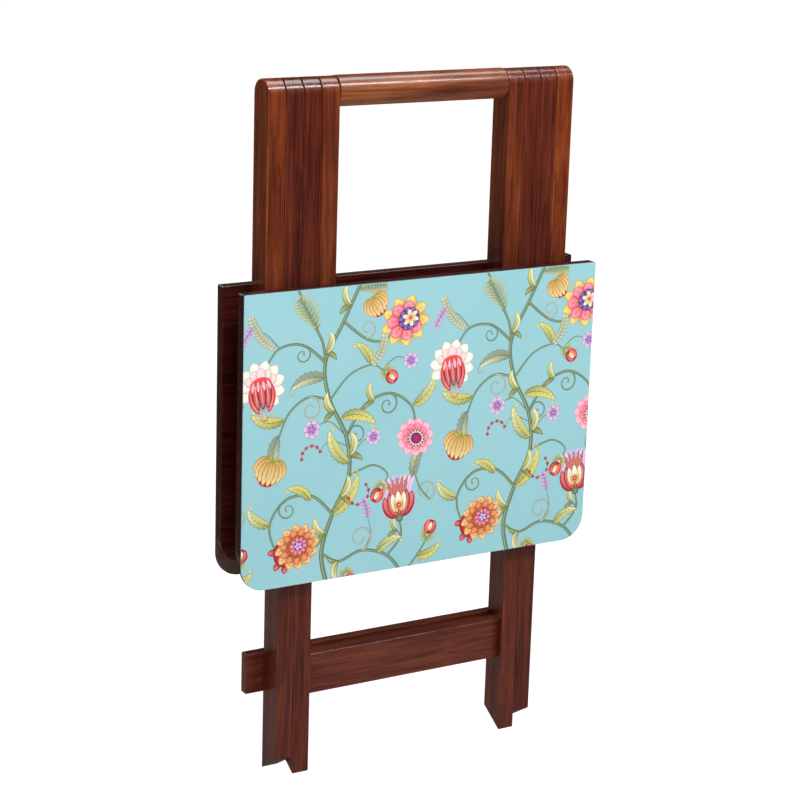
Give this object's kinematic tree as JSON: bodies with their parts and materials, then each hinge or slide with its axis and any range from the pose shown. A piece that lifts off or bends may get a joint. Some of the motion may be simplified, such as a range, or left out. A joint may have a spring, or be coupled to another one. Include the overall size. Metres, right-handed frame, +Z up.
{
  "type": "folding tray table",
  "caption": "Butterfly folding tray table, folded: crossed wooden legs, a round carrying handle and hinged leaves with a floral sheet, which swing up as the legs open.",
  "frame": {"origin": "on the floor, under the middle of the folded table", "axes": "+Z up, +X across the table along the handle, -Y towards the front leaf"},
  "size_m": [0.418, 0.057, 0.7256],
  "materials": {
    "leg_wood": "glossy lacquer over dark red-brown hardwood",
    "arm_wood": "glossy lacquer over red-brown hardwood",
    "rail_wood": "glossy lacquer over red-brown hardwood",
    "board_wood": "satin lacquer over dark red-brown wood",
    "decorated_sheet": "satin printed laminate, aqua ground with a floral pattern",
    "dowel_wood": "plain beech",
    "steel": "bright zinc-plated steel"
  },
  "bodies": {
    "root": {"cross_bolt_left": "steel", "cross_bolt_right": "steel", "cross_nut_left": "steel", "cross_nut_right": "steel", "cross_washer_left": "steel", "cross_washer_right": "steel"},
    "outer_frame": {"outer_leg_left": "leg_wood", "outer_leg_right": "leg_wood", "rear_stretcher": "rail_wood", "rear_stretcher_screws": "steel", "rear_pivot_pin_left": "steel", "rear_pivot_pin_right": "steel"},
    "inner_frame": {"inner_leg_left": "leg_wood", "inner_leg_right": "leg_wood", "front_stretcher": "rail_wood", "front_stretcher_dowels": "dowel_wood", "handle_rail": "rail_wood", "handle_lock_pins": "steel"},
    "rear_leaf": {"rear_arm_left": "arm_wood", "rear_arm_right": "arm_wood", "rear_leaf_board": "board_wood", "rear_leaf_sheet": "decorated_sheet", "rear_leaf_screws": "steel"},
    "front_leaf": {"front_arm_left": "arm_wood", "front_arm_right": "arm_wood", "front_leaf_board": "board_wood", "front_leaf_sheet": "decorated_sheet", "front_leaf_screws": "steel"}
  },
  "joints": [
    {"name": "outer_frame_swing", "type": "hinge", "parent": "root", "child": "outer_frame", "pos_m": [0, 0, 0.35202], "axis": [1, 0, 0], "range_deg": [0, 14]},
    {"name": "inner_frame_swing", "type": "hinge", "parent": "root", "child": "inner_frame", "pos_m": [0, 0, 0.35202], "axis": [1, 0, 0], "range_deg": [-14, 0]},
    {"name": "rear_leaf_lift", "type": "hinge", "parent": "outer_frame", "child": "rear_leaf", "pos_m": [0, 0, 0.71], "axis": [1, 0, 0], "range_deg": [0, 76]},
    {"name": "front_leaf_lift", "type": "hinge", "parent": "inner_frame", "child": "front_leaf", "pos_m": [0, 0, 0.71], "axis": [1, 0, 0], "range_deg": [-76, 0]}
  ],
  "couplings": [
    {"joint": "inner_frame_swing", "follows": "outer_frame_swing", "ratio": -1},
    {"joint": "rear_leaf_lift", "follows": "outer_frame_swing", "ratio": 5.4286},
    {"joint": "front_leaf_lift", "follows": "outer_frame_swing", "ratio": -5.4286}
  ]
}
